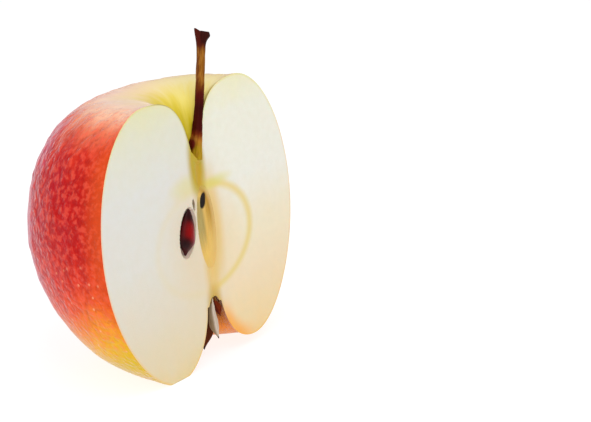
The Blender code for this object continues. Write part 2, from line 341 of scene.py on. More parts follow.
def closeSeams(piece):
    # the poles of a grid are rows of equal points: merge them and turn all faces outward. The points at
    # the top of the calyx tube differ a little in height, so that pole stays open
    shape = bmesh.new()
    shape.from_mesh(piece.data)
    bmesh.ops.remove_doubles(shape, verts=shape.verts, dist=1e-7)
    bmesh.ops.recalc_face_normals(shape, faces=shape.faces)
    shape.to_mesh(piece.data)
    shape.free()


def makeFruit():
    points, places, skinQuads, faceQuads, fan, faceStart = fruitMesh()
    placed = placeFruit(points)
    placed[:, 2] = np.maximum(placed[:, 2], 0.0)
    fruit = makeMesh("apple_half", placed, np.vstack([skinQuads, faceQuads]), fan)
    kind = np.zeros(len(skinQuads) + len(faceQuads) + len(fan), np.int32)
    kind[len(skinQuads):] = 1
    fruit.data.materials.append(skinMaterial())
    fruit.data.materials.append(fleshMaterial())
    fruit.data.polygons.foreach_set("material_index", kind)
    storePlaces(fruit, "upright", points)
    skinPlace = np.zeros((len(points), 3))
    skinPlace[:faceStart] = places.reshape(-1, 3)
    storePlaces(fruit, "skinPlace", skinPlace)
    edgeNumbers = np.concatenate([np.arange(0, faceStart, apple["turns"]),
                                  np.arange(faceStart - 1, 0, -apple["turns"])])
    edge = points[edgeNumbers][:, [0, 2]]
    flat = points[:, [0, 2]]
    # shortest distance to the cut's edge, a part of the points at a time
    gap = np.concatenate([
        np.sqrt(((part[:, None, :] - edge[None, :, :]) ** 2).sum(2)).min(1)
        for part in np.array_split(flat, 60)])
    gap[:faceStart] = 0.0
    storeNumbers(fruit, "edgeGap", gap)
    closeSeams(fruit)
    fruit.data.set_sharp_from_angle(angle=math.radians(apple["sharpAngle"]))
    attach(fruit, "root")
    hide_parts("fruit_half")
    print("fruit:", len(fruit.data.vertices), "points")


def colour(red, green, blue):
    # display values from 0 to 255, as the linear colour that a shader takes
    shares = [value / 255 for value in (red, green, blue)]
    return tuple(s / 12.92 if s <= 0.04045 else ((s + 0.055) / 1.055) ** 2.4 for s in shares) + (1.0,)


def put(tree, kind, inputs=None, **settings):
    # adds a node; an input is a number, a colour or another node's output
    made = tree.nodes.new(kind)
    for key, value in settings.items():
        setattr(made, key, value)
    for key, value in (inputs or {}).items():
        if isinstance(value, bpy.types.NodeSocket):
            tree.links.new(value, made.inputs[key])
        else:
            made.inputs[key].default_value = value
    return made


def readPlace(tree, name):
    return put(tree, "ShaderNodeAttribute", attribute_name=name).outputs["Vector"]


def readNumber(tree, name):
    return put(tree, "ShaderNodeAttribute", attribute_name=name).outputs["Fac"]


def maths(tree, operation, first, second=0.0):
    return put(tree, "ShaderNodeMath", {0: first, 1: second}, operation=operation).outputs[0]


def product(tree, first, *others):
    for other in others:
        first = maths(tree, "MULTIPLY", first, other)
    return first


def inverse(tree, value):
    return maths(tree, "SUBTRACT", 1.0, value)


def ramp(tree, value, stops):
    made = put(tree, "ShaderNodeValToRGB", {"Fac": value})
    elements = made.color_ramp.elements
    while len(elements) < len(stops):
        elements.new(0.5)
    for element, (place, shade) in zip(elements, stops):
        element.position = place
        element.color = shade
    return made.outputs["Color"]


def step(tree, value, low, high):
    return put(tree, "ShaderNodeMapRange", {"Value": value, "From Min": low, "From Max": high},
               interpolation_type="SMOOTHSTEP").outputs["Result"]


def span(tree, value, limits):
    # fades in between the first two limits and out between the last two
    return product(tree, step(tree, value, *limits[:2]), inverse(tree, step(tree, value, *limits[2:])))


def blend(tree, mask, first, second):
    return put(tree, "ShaderNodeMix", {0: mask, 6: first, 7: second}, data_type="RGBA").outputs[2]


def paintOver(tree, base, *layers):
    # each layer is a mask, its strength and its colour, laid on in that order
    for mask, strength, shade in layers:
        base = blend(tree, product(tree, mask, strength), base, shade)
    return base


def stretched(tree, place, size):
    # millimetres divided by the size of a grain in each direction
    return put(tree, "ShaderNodeVectorMath", {0: place, 1: tuple(1 / s for s in size)},
               operation="MULTIPLY").outputs["Vector"]


def noise(tree, place, size, detail=2.0):
    return put(tree, "ShaderNodeTexNoise", {
        "Vector": stretched(tree, place, size), "Scale": 1.0, "Detail": detail}).outputs[0]


def parted(tree, place):
    return put(tree, "ShaderNodeSeparateXYZ", {0: place}).outputs[:3]


def mottleGroup():
    # soft patches: noise pushed to black and white by its contrast
    group = bpy.data.node_groups.new("mottle", "ShaderNodeTree")
    group.interface.new_socket("Place", in_out="INPUT", socket_type="NodeSocketVector")
    group.interface.new_socket("Contrast", in_out="INPUT", socket_type="NodeSocketFloat")
    group.interface.new_socket("Mask", in_out="OUTPUT", socket_type="NodeSocketFloat")
    given, result = group.nodes.new("NodeGroupInput"), group.nodes.new("NodeGroupOutput")
    clouds = put(group, "ShaderNodeTexNoise", {
        "Vector": given.outputs["Place"], "Scale": 1.0, "Detail": 3.0, "Roughness": 0.55})
    low = maths(group, "SUBTRACT", 0.5, given.outputs["Contrast"])
    high = maths(group, "ADD", 0.5, given.outputs["Contrast"])
    group.links.new(step(group, clouds.outputs[0], low, high), result.inputs["Mask"])
    return group


mottle = mottleGroup()


def patches(tree, place, size, contrast):
    return put(tree, "ShaderNodeGroup", {"Place": stretched(tree, place, size), "Contrast": contrast},
               node_tree=mottle).outputs["Mask"]


def shaderOf(name, **values):
    material = bpy.data.materials.new(name)
    material.use_nodes = True
    shader = material.node_tree.nodes["Principled BSDF"]
    for key, value in values.items():
        shader.inputs[key.replace("_", " ")].default_value = value
    return material, material.node_tree, shader


def finishShader(tree, shader, base, roughness=None, heights=()):
    tree.links.new(base, shader.inputs["Base Color"])
    if roughness is not None:
        tree.links.new(roughness, shader.inputs["Roughness"])
    normal = None
    for height, strength, distance in heights:
        bump = put(tree, "ShaderNodeBump", {"Height": height, "Strength": strength, "Distance": distance})
        if normal is not None:
            tree.links.new(normal, bump.inputs["Normal"])
        normal = bump.outputs["Normal"]
    if normal is not None:
        tree.links.new(normal, shader.inputs["Normal"])


skinColours = {
    # share of the way from stem pit to calyx, colour on the sunny side; the pale stops from 0.14 to 0.215 are
    # a painted highlight on the shoulder
    "sunny": [
        (0.00, colour(150, 124, 0)), (0.04, colour(198, 178, 0)), (0.075, colour(216, 192, 6)),
        (0.105, colour(232, 208, 84)), (0.14, colour(248, 220, 170)), (0.18, colour(251, 214, 186)),
        (0.215, colour(248, 190, 156)), (0.255, colour(236, 122, 84)), (0.30, colour(208, 44, 18)),
        (0.37, colour(186, 8, 0)), (0.46, colour(192, 12, 0)), (0.53, colour(214, 46, 10)),
        (0.59, colour(236, 88, 22)), (0.64, colour(242, 142, 20)), (0.69, colour(234, 174, 0)),
        # the stops at 0.90 and 0.95 are the basin skin's orange, brightened as painted light to lift the
        # shade in the calyx basin
        (0.745, colour(216, 182, 0)), (0.84, colour(226, 180, 0)), (0.90, colour(255, 158, 24)),
        (0.95, colour(250, 130, 20)), (1.00, colour(150, 86, 24))],
    # colour on the shaded side; its pale stops from 0.10 to 0.15 are a painted highlight on the shoulder
    "shaded": [
        (0.00, colour(160, 132, 8)), (0.05, colour(212, 194, 24)), (0.10, colour(236, 220, 120)),
        (0.15, colour(243, 228, 170)), (0.22, colour(238, 206, 120)), (0.32, colour(232, 150, 60)),
        (0.44, colour(218, 92, 36)), (0.58, colour(232, 132, 40)), (0.70, colour(238, 168, 34)),
        (0.82, colour(238, 150, 40)), (0.90, colour(248, 140, 34)), (1.00, colour(130, 78, 24))],
    "streak": colour(158, 0, 8),
    # crest and valley colours: painted highlight on the pebbles' crests and painted shade between them
    "crest": colour(242, 92, 70),
    "valley": colour(158, 0, 6),
    "dot": colour(252, 184, 140),
    "rim": colour(226, 92, 24),
    # the next three colours are painted sheen: a purple-red, a pink and a pale pink that tint the skin
    # towards the left silhouette, standing in for the bright reflection at grazing angles
    "crimson": colour(176, 4, 44),
    "paintedSheen": colour(216, 104, 140),
    "pale": colour(234, 184, 200),
    "pitStreak": colour(240, 214, 90),
    "lip": colour(150, 112, 16),
}

skinMarks = {
    # sizes in millimetres round, along and through the skin
    "wobble": (9.0, 14.0, 9.0), "streaks": (2.4, 4.5, 60.0), "pebbles": (1.7, 1.5, 60.0),
    "ridges": (1.25, 1.35, 60.0), "dots": (1.9, 2.1, 60.0), "threads": (2.6, 5.0, 60.0),
    # shares of the way from stem pit to calyx: where each fades in and out
    "red": (0.2, 0.32, 0.5, 0.7), "paintedSheen": (0.22, 0.32, 0.56, 0.8), "crests": (0.16, 0.24, 0.6, 0.74),
    "rim": (0.25, 0.32, 0.5, 0.62),
    # shares of half a turn from the cut: where the blush gives way to the shaded side
    "shade": (0.45, 0.78), "facing": (0.38, 0.66),
    "relief": 0.00055, "dotRelief": 0.0002,    # metres
}


def skinMaterial():
    material, tree, shader = shaderOf(
        "apple_skin", Specular_IOR_Level=0.1, Coat_Weight=0.08, Coat_Roughness=0.16, Coat_IOR=1.4,
        Sheen_Weight=0.85, Sheen_Roughness=0.2, Sheen_Tint=(1.0, 0.84, 0.92, 1.0))
    c, m = skinColours, skinMarks
    place = readPlace(tree, "skinPlace")
    around, along, back = parted(tree, place)
    length = float(np.hypot(*np.diff(outline(), axis=0).T).sum())
    shift = maths(tree, "SUBTRACT", noise(tree, place, m["wobble"]), 0.5)
    share = maths(tree, "ADD", maths(tree, "DIVIDE", along, length), product(tree, shift, 0.05))
    # beside the cut the red ends a little higher up
    early = product(tree, inverse(tree, step(tree, back, 1.0, 18.0)), step(tree, share, 0.47, 0.6), 0.055)
    sunny = ramp(tree, maths(tree, "ADD", share, early), c["sunny"])
    shaded = ramp(tree, share, c["shaded"])
    # the blush fades round the back to the right side, which ripened in the shade
    halfTurn = math.pi * apple["equatorRadius"]
    blush = maths(tree, "ADD", maths(tree, "DIVIDE", around, halfTurn), product(tree, shift, 0.35))
    base = blend(tree, step(tree, blush, *m["shade"]), sunny, shaded)
    red = span(tree, share, m["red"])
    facing = inverse(tree, step(tree, blush, *m["facing"]))
    # painted sheen: purple-red, then pink, then pale pink laid on more and more towards the left silhouette,
    # in place of the reflection of the bright surroundings at grazing angles
    crimson = product(tree, step(tree, blush, 0.05, 0.26), red, facing)
    paintedSheen = product(tree, step(tree, blush, 0.18, 0.36), span(tree, share, m["paintedSheen"]), facing)
    pale = product(tree, step(tree, blush, 0.26, 0.36), paintedSheen)
    # dark red patches drawn out from stem to calyx
    streaks = product(tree, patches(tree, place, m["streaks"], 0.16), red)
    # close-set low pebbles, with a painted highlight on their crests and painted shade between them
    pebbles = put(tree, "ShaderNodeTexVoronoi", {
        "Vector": stretched(tree, place, m["pebbles"]), "Scale": 1.0, "Smoothness": 0.9}, feature="SMOOTH_F1")
    ridges = noise(tree, place, m["ridges"])
    crest = maths(tree, "SUBTRACT", ridges, product(tree, pebbles.outputs["Distance"], 0.35))
    crests = product(tree, step(tree, crest, 0.30, 0.52), span(tree, share, m["crests"]))
    valleys = product(tree, inverse(tree, step(tree, crest, 0.14, 0.32)), red)
    # pale dots, the skin's breathing pores, mostly on the lower half
    cells = put(tree, "ShaderNodeTexVoronoi", {
        "Vector": stretched(tree, place, m["dots"]), "Scale": 1.0, "Randomness": 0.95})
    dots = product(tree, inverse(tree, step(tree, cells.outputs["Distance"], 0.08, 0.22)),
                   maths(tree, "ADD", 0.08, step(tree, share, 0.44, 0.58)))
    # pale threads in the stem pit, and a dark lip where the skin is cut there
    pit = inverse(tree, step(tree, share, 0.1, 0.18))
    threads = product(tree, patches(tree, place, m["threads"], 0.2), pit)
    lip = product(tree, inverse(tree, step(tree, back, 0.1, 0.9)), pit)
    # the skin lets light through beside the cut and looks more orange there
    rim = product(tree, inverse(tree, step(tree, back, 0.2, 7.0)), span(tree, share, m["rim"]))
    base = paintOver(
        tree, base, (crimson, 0.7, c["crimson"]), (paintedSheen, 0.7, c["paintedSheen"]), (pale, 0.35, c["pale"]),
        (streaks, 0.4, c["streak"]), (crests, 0.42, c["crest"]), (valleys, 0.4, c["valley"]),
        (dots, 0.6, c["dot"]), (threads, 0.35, c["pitStreak"]), (lip, 0.6, c["lip"]), (rim, 0.5, c["rim"]))
    embossed = product(tree, crest, step(tree, share, 0.13, 0.24))
    rough = maths(tree, "ADD", 0.3, product(tree, ridges, 0.18))
    finishShader(tree, shader, base, rough, [(embossed, 1.0, m["relief"]), (dots, 0.35, m["dotRelief"])])
    return material


fleshColours = {
    # the left ramp is greyer and darker than the right one: partly painted shade over the left part of the
    # cut face, partly the flesh's own tone
    "left": [
        (0.00, colour(232, 206, 142)), (0.10, colour(230, 212, 174)), (0.28, colour(228, 217, 196)),
        (0.48, colour(226, 223, 214)), (0.72, colour(226, 225, 220)), (0.90, colour(228, 227, 206)),
        (1.00, colour(231, 228, 184))],
    "right": [
        (0.00, colour(246, 202, 128)), (0.10, colour(241, 214, 164)), (0.26, colour(242, 220, 184)),
        (0.42, colour(241, 228, 198)), (0.62, colour(239, 237, 226)), (0.88, colour(239, 238, 222)),
        (1.00, colour(240, 236, 198))],
    "line": colour(232, 208, 130),
    "bundle": colour(186, 162, 0),
    "bundleThread": colour(204, 152, 0),
    "green": colour(222, 214, 110),
    "rim": [(0.0, colour(236, 190, 80)), (0.3, colour(240, 198, 140)), (0.7, colour(238, 206, 160)),
            (0.9, colour(230, 224, 140)), (1.0, colour(228, 218, 130))],
    "wallTopShadow": colour(192, 146, 50),
    "wallLow": colour(232, 196, 112),
    "fold": colour(236, 198, 108),
    "membrane": colour(188, 168, 104),
    "chamber": colour(238, 214, 196),
    "dark": colour(20, 4, 2),
    "warm": colour(234, 204, 150),
    "ochre": colour(230, 190, 96),
    "apex": colour(196, 156, 20),
    "pitRim": colour(136, 122, 36),
    "grain": colour(214, 206, 176),
    "basin": colour(250, 172, 70),
    "crack": colour(96, 72, 18),
}

fleshOvals = {
    # middle and half size across and up the cut face, in millimetres, and softness of the edge
    "warm": ((-1.0, 32.0), (13.0, 15.0), 0.5),
    "ochre": ((2.6, 33.0), (4.0, 12.5), 0.5),
    "lowOchre": ((0.6, 21.5), (2.4, 7.5), 0.6),
    "greenLeft": ((-5.0, 44.6), (5.0, 2.2), 0.7),
    "greenRight": ((5.2, 43.0), (5.5, 1.3), 0.7),
    "basin": ((4.0, 4.0), (9.0, 8.0), 0.5),
    "apex": ((0.2, 14.4), (2.6, 3.8), 0.6),
    "bundle": ((-0.4, 48.8), (2.9, 8.2), 0.45),
    "bundleMiddle": ((0.3, 45.0), (1.2, 5.0), 0.6),
    # the slit's oval is painted near-black: painted shadow for the chamber behind it, which the shallow dip
    # doesn't open
    "slit": (cutFace["slitMiddle"], (cutFace["slitHalf"][0] + 0.08, cutFace["slitHalf"][1] + 0.15), 0.16),
    "crack": (cutFace["crackMiddle"], cutFace["crackHalf"], 0.3),
}


def ovalDistanceNodes(tree, x, z, middle, half):
    # 1 on the oval's edge, 0 in its middle
    across = maths(tree, "DIVIDE", maths(tree, "SUBTRACT", x, middle[0]), half[0])
    up = maths(tree, "DIVIDE", maths(tree, "SUBTRACT", z, middle[1]), half[1])
    return maths(tree, "SQRT", maths(tree, "ADD", product(tree, across, across), product(tree, up, up)))


def ovalMask(tree, x, z, middle, half, soft):
    # 1 inside an oval, fading over its edge
    return inverse(tree, step(tree, ovalDistanceNodes(tree, x, z, middle, half), 1.0 - soft, 1.0 + soft))


def fleshMaterial():
    material, tree, shader = shaderOf(
        "apple_flesh", Specular_IOR_Level=0.25, Subsurface_Weight=0.1, Subsurface_Scale=0.0015)
    f = fleshColours
    place = readPlace(tree, "upright")
    x, depth, z = parted(tree, place)
    oval = {name: ovalMask(tree, x, z, *values) for name, values in fleshOvals.items()}
    shift = maths(tree, "SUBTRACT", noise(tree, place, (7.0, 7.0, 7.0)), 0.5)
    height = maths(tree, "ADD", maths(tree, "DIVIDE", z, apple["shoulderHeight"]), product(tree, shift, 0.12))
    # the cut face turns from the left ramp to the right one; the left's darker grey is partly painted shade
    left, right = ramp(tree, height, f["left"]), ramp(tree, height, f["right"])
    base = blend(tree, step(tree, x, -4.0, 10.0), left, right)
    # faint cloudy grain of the cells, and the line round the core, clear on its right side only
    cloud = patches(tree, place, (2.2, 2.2, 2.2), 0.3)
    around = ovalDistanceNodes(tree, x, z, cutFace["coreLineMiddle"], cutFace["coreLineHalf"])
    nearLine = maths(tree, "ABSOLUTE", maths(tree, "SUBTRACT", around, 1.0))
    line = product(tree, inverse(tree, step(tree, nearLine, 0.0, 0.125)),
                   maths(tree, "ADD", 0.14, product(tree, step(tree, x, 0.0, 3.0), 0.7)))
    # flesh just under the skin is yellower, a line along the cut's edge that is partly painted highlight, and
    # orange beside the calyx basin; the skin's cut edge shows dark along the left side of the stem pit
    edgeGap = readNumber(tree, "edgeGap")
    edge = inverse(tree, step(tree, edgeGap, 0.05, 0.75))
    glow = product(tree, oval["basin"], step(tree, x, 1.0, 3.0), inverse(tree, step(tree, edgeGap, 0.3, 4.4)))
    pitRim = product(tree, inverse(tree, step(tree, edgeGap, 0.02, 0.4)), step(tree, x, -17.0, -11.0),
                     step(tree, height, 0.78, 0.86), inverse(tree, step(tree, x, -2.0, 0.0)))
    # the bundle under the stem
    strand = product(tree, step(tree, noise(tree, place, (0.8, 0.8, 7.0)), 0.4, 0.7), 0.35)
    threading = maths(tree, "MAXIMUM", product(tree, oval["bundleMiddle"], 0.6), strand)
    # horny walls of the open core, darker towards the top where painted shadow lies in the opening, and the
    # paler wall of the seed's chamber
    inCore = step(tree, x, -3.2, -2.8)
    wall = blend(tree, step(tree, z, 28.0, 38.0), f["wallLow"], f["wallTopShadow"])
    wall = blend(tree, step(tree, depth, 0.9, 1.7), wall, f["fold"])
    deep = product(tree, step(tree, depth, 1.5, 2.2), step(tree, z, 24.0, 33.0))
    wall = blend(tree, deep, wall, f["membrane"])
    wall = blend(tree, inCore, f["chamber"], wall)
    hollow = blend(tree, inCore, step(tree, depth, 0.15, 0.5), step(tree, depth, 0.2, 1.1))
    base = paintOver(
        tree, base, (cloud, 0.16, f["grain"]), (oval["warm"], 0.4, f["warm"]), (line, 1.0, f["line"]),
        (oval["ochre"], 0.75, f["ochre"]), (oval["lowOchre"], 0.6, f["ochre"]),
        (oval["greenLeft"], 0.4, f["green"]), (oval["greenRight"], 0.6, f["green"]),
        (edge, 0.6, ramp(tree, height, f["rim"])), (glow, 0.95, f["basin"]), (pitRim, 0.75, f["pitRim"]),
        (oval["apex"], 0.75, f["apex"]),
        (oval["bundle"], 0.97, blend(tree, threading, f["bundle"], f["bundleThread"])),
        (product(tree, hollow, inverse(tree, step(tree, z, 41.0, 44.0))), 1.0, wall),
        (oval["slit"], 1.0, f["dark"]), (oval["crack"], 0.85, f["crack"]))
    grain = noise(tree, place, (0.45, 0.45, 0.45))
    fibres = product(tree, noise(tree, place, (0.5, 0.5, 4.0), 3.0), step(tree, depth, 0.3, 1.0))
    rough = maths(tree, "ADD", 0.36, product(tree, grain, 0.2))
    finishShader(tree, shader, base, rough, [(grain, 0.16, 0.0003), (fibres, 0.4, 0.0004)])
    return material


makeFruit()


stem = {
    "foot": (1.0, 1.3, 49.5), "tip": (8.0, 0.4, 78.2), "bow": 0.5,
    "radius": 0.93, "footRadius": 1.6, "tipFlare": 0.5,
    "rings": 180, "sides": 56, "ridges": 6,
    # share of the way from foot to tip, colour of the bark
    "bark": [
        (0.0, colour(186, 158, 0)), (0.095, colour(186, 154, 0)), (0.12, colour(190, 134, 24)),
        (0.15, colour(190, 120, 34)), (0.19, colour(130, 48, 10)), (0.23, colour(70, 0, 0)),
        (0.40, colour(48, 0, 0)), (0.51, colour(84, 8, 4)), (0.57, colour(120, 62, 8)),
        (0.61, colour(142, 84, 16)), (0.83, colour(142, 84, 16)), (0.88, colour(96, 36, 10)),
        (0.915, colour(44, 6, 4)), (1.0, colour(34, 10, 8))],
    "light": colour(196, 138, 52), "crack": colour(74, 20, 4), "burnt": colour(84, 18, 6),
    "bud": colour(86, 14, 6), "scar": colour(104, 76, 72),
}


def makeStem():
    # rings along a bowed line; radius = waist + foot swelling + tip flare + ridges that twist a little,
    # and the tip closes in a shallow uneven scar
    s = stem
    t = np.linspace(0.0, 1.0, s["rings"])[:, None]
    around = np.linspace(0.0, 2 * math.pi, s["sides"], endpoint=False)[None, :]
    foot, tip = np.array(s["foot"]), np.array(s["tip"])
    axis = foot + (tip - foot) * t + np.array([s["bow"], 0.0, 0.0]) * np.sin(math.pi * t)
    radius = s["radius"] + (s["footRadius"] - s["radius"]) * np.exp(-4.0 * t)
    radius = radius + s["tipFlare"] * np.exp(-((1 - t) * 13) ** 2)
    twist = around + 1.4 * t
    ridge = 0.045 * np.cos(s["ridges"] * twist) + 0.03 * np.cos(11 * twist + 4 * t)
    knots = 0.05 * softNoise(around * 3 + 30, t * 26, 21) + 0.06 * softNoise(around * 1.3 + 9, t * 9, 22)
    flare = 0.2 * bell(t, 1.0, 0.06) * np.cos(2 * (around - 1.0))
    knob = 0.42 * bell(t, 0.965, 0.028) * np.exp(-((np.cos(around - 1.0 - math.pi) - 1.0) / 0.45) ** 2)
    blob = 0.5 * bell(t, 0.115, 0.04) * np.exp(-((np.cos(around - 0.35) - 1.0) / 0.3) ** 2)
    radius = radius * (1 + ridge * (1 - 0.5 * bell(t, 0.0, 0.1)) + knots + flare) + blob + knob
    slope = (tip - foot) / np.linalg.norm(tip - foot)
    side = np.cross(slope, (0.0, 1.0, 0.0))
    side /= np.linalg.norm(side)
    front = np.cross(side, slope)
    body = axis[:, None, :] + radius[:, :, None] * (
        np.cos(around)[:, :, None] * side + np.sin(around)[:, :, None] * front)
    # the tip's rim rises to a horn on one side and droops on the other; four closing rings sink in its scar
    lean = np.cos(around.ravel() - 1.0)
    horn = 0.6 * smoothStep(0.3, 1.0, lean) - 0.12 * smoothStep(0.2, 1.0, -lean)
    body = body + slope * (horn[None, :] * smoothStep(0.95, 1.0, t))[:, :, None]
    rim = body[-1]
    centre = rim.mean(0) - slope * 0.1
    closing = [centre + (rim - centre) * share + slope * sink for share, sink in
               ((0.92, 0.06), (0.75, -0.12), (0.5, -0.35), (0.25, -0.4))]
    grid = np.concatenate([body, np.array(closing)])
    rings, sides = grid.shape[:2]
    points = np.vstack([grid.reshape(-1, 3), [body[0].mean(0)], [centre - slope * 0.32]])
    quads = gridFaces(rings, sides, closed=True)
    first = np.arange(sides)
    last = np.arange(sides) + (rings - 1) * sides
    caps = np.vstack([capFaces(first, rings * sides)[:, [1, 0, 2]], capFaces(last, rings * sides + 1)])
    piece = makeMesh("stem_bark", standing(points), quads, caps)
    closeSeams(piece)
    share = np.concatenate([
        np.repeat(np.linspace(0, 1, s["rings"]), sides), np.ones(len(closing) * sides), [0.0, 1.0]])
    angle = np.concatenate([np.tile(around.ravel(), rings), [0.0, 0.0]])
    scar = np.concatenate([np.zeros(s["rings"] * sides), np.repeat([0.0, 0.5, 0.9, 1.0], sides), [0.0, 1.0]])
    storePlaces(piece, "barkPlace", np.stack([np.cos(angle), np.sin(angle), share], 1))
    storeNumbers(piece, "scar", scar)
    blobMask = np.concatenate([(np.clip(blob / 0.25, 0.0, 1.0)).ravel(), np.zeros(len(closing) * sides + 2)])
    storeNumbers(piece, "blob", blobMask)
    piece.data.materials.append(barkMaterial())
    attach(piece, "root")
    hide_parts("stem")
    print("stem:", len(piece.data.vertices), "points")


def barkMaterial():
    material, tree, shader = shaderOf("stem_bark", Roughness=0.65, Specular_IOR_Level=0.08)
    s = stem
    place = readPlace(tree, "barkPlace")
    x, y, up = parted(tree, place)
    shift = maths(tree, "SUBTRACT", noise(tree, place, (0.7, 0.7, 0.05), 3.0), 0.5)
    height = maths(tree, "ADD", up, product(tree, shift, 0.06))
    # one side is burnt maroon along the upper half
    facing = maths(tree, "ADD", product(tree, x, 0.94), product(tree, y, 0.34))
    facing = maths(tree, "ADD", facing, product(tree, shift, 0.8))
    burnt = product(tree, step(tree, facing, 0.45, 0.95), step(tree, height, 0.52, 0.62))
    # dark cracks everywhere, and pale glints near the foot and on the upper half
    cracks = patches(tree, place, (0.3, 0.3, 0.4), 0.18)
    nearFoot = inverse(tree, step(tree, height, 0.15, 0.2))
    lightPart = maths(tree, "ADD", step(tree, height, 0.56, 0.62), nearFoot)
    glints = product(tree, patches(tree, place, (0.24, 0.24, 0.09), 0.12), lightPart,
                     inverse(tree, step(tree, height, 0.82, 0.9)))
    base = paintOver(
        tree, ramp(tree, height, s["bark"]), (burnt, 0.75, s["burnt"]), (cracks, 0.45, s["crack"]),
        (glints, 0.42, s["light"]), (readNumber(tree, "blob"), 1.0, s["bud"]),
        (readNumber(tree, "scar"), 0.7, s["scar"]))
    fine = noise(tree, place, (0.16, 0.16, 0.12), 4.0)
    rough = maths(tree, "ADD", 0.5, product(tree, fine, 0.3))
    finishShader(tree, shader, base, rough, [(fine, 0.6, 0.0003)])
    return material


makeStem()


seedColours = {
    # the glow colour and the pink one are painted highlights on the glossy coat
    "coat": colour(70, 0, 2), "glow": colour(146, 2, 4), "tip": colour(22, 0, 2),
    "paintedSheen": colour(200, 110, 124),
}

seedOvals = {
    # middle and half size across and up the seed, in millimetres, and softness of the edge
    # the glow oval is a painted highlight in the seed's middle, and the narrow pink oval a painted highlight
    # streak on its lower right
    "glow": ((-0.3, 0.1), (1.5, 2.2), 0.7),
    "low": ((-1.5, -2.6), (1.2, 1.3), 0.7),
    "top": ((0.0, 5.2), (2.4, 2.6), 0.4),
    "paintedSheen": ((0.9, -1.6), (0.28, 1.9), 0.8),
}


def seedPoints():
    # a drop: rings from the point to the nib, half width = sin(angle) narrowed towards the top and, past
    # the widest place, towards a small nib; a keel and a dimple run down the front
    polar = np.linspace(0.0, math.pi, seeds["rings"])[:, None]
    around = np.linspace(0.0, 2 * math.pi, seeds["sides"], endpoint=False)[None, :]
    up = np.cos(polar)
    narrowing = 1 - seeds["taper"] * np.clip(up + 0.35, 0.0, None) / 1.35
    nib = 1 - 0.55 * smoothStep(0.45, 0.92, -up)
    width = np.sin(polar) * narrowing * nib
    keel = 1 + 0.10 * bell(np.sin(around), -1.0, 0.35) - 0.035 * np.cos(2 * around)
    dimple = 1 - 0.14 * bell(np.sin(around), -0.6, 0.3) * bell(up, -0.1, 0.35)
    grain = 1 + 0.015 * softNoise(around * 6, up * 5 + 9, 31)
    half = np.array(seeds["half"])
    x = width * np.cos(around) * half[0] * grain
    y = width * np.sin(around) * half[1] * keel * dimple * grain
    z = (up + 0.0 * around) * half[2]
    return np.stack([x, y, z], 2)


def makeSeeds():
    shape = seedPoints()
    rings, sides = shape.shape[:2]
    turn = np.array(Matrix.Rotation(math.radians(seeds["tilt"]), 3, "Y"))
    coat = seedMaterial()
    for name, middle in seeds["places"].items():
        local = shape.reshape(-1, 3)
        points = local @ turn.T + np.array(middle)
        piece = makeMesh(name + "_coat", standing(points), gridFaces(rings, sides, closed=True))
        storePlaces(piece, "seedPlace", local)
        closeSeams(piece)
        piece.data.materials.append(coat)
        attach(piece, "root")
        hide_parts(name)
    print("seeds:", len(seeds["places"]))


def seedMaterial():
    material, tree, shader = shaderOf(
        "seed_coat", Roughness=0.35, Specular_IOR_Level=0.1, Coat_Weight=0.06, Coat_Roughness=0.1)
    c = seedColours
    place = readPlace(tree, "seedPlace")
    x, _, z = parted(tree, place)
    oval = {name: ovalMask(tree, x, z, *values) for name, values in seedOvals.items()}
    cloud = patches(tree, place, (1.0, 1.0, 1.6), 0.2)
    base = paintOver(
        tree, c["coat"], (cloud, 0.45, c["tip"]), (oval["glow"], 0.9, c["glow"]),
        (oval["low"], 0.8, c["tip"]), (oval["top"], 0.6, c["tip"]), (oval["paintedSheen"], 0.6, c["paintedSheen"]))
    fine = noise(tree, place, (0.35, 0.35, 1.6), 3.0)
    rough = maths(tree, "ADD", 0.24, product(tree, fine, 0.25))
    finishShader(tree, shader, base, rough, [(fine, 0.4, 0.0003)])
    return material


makeSeeds()


calyx = {
    # name: root, bend and tip of its line, heading of its width in degrees, half width, share of the length
    # at which it is widest, curl of its margins, colour, colour of its folded left margin, darker as painted
    # shade
    "sepals": {
        "sepal_middle": ((0.1, 0.8, 16.0), (-0.9, 0.8, 10.5), (1.0, 0.7, 4.9), -26, 1.25, 0.66, 0.3,
                         colour(226, 208, 190), colour(128, 104, 66)),
        "sepal_right": ((1.0, 1.2, 15.4), (2.4, 1.3, 13.0), (3.7, 1.5, 9.6), -35, 0.95, 0.6, -0.3,
                        colour(132, 48, 14), colour(84, 20, 8)),
        "sepal_back": ((-0.2, 2.2, 14.4), (0.2, 3.2, 9.0), (-1.0, 4.0, 2.4), -35, 2.2, 0.7, 0.5,
                       colour(96, 42, 12), colour(56, 8, 4)),
    },
    "halfThickness": 0.2, "gap": 0.3,
    "rings": 80, "sides": 48, "tip": colour(34, 10, 8),
}


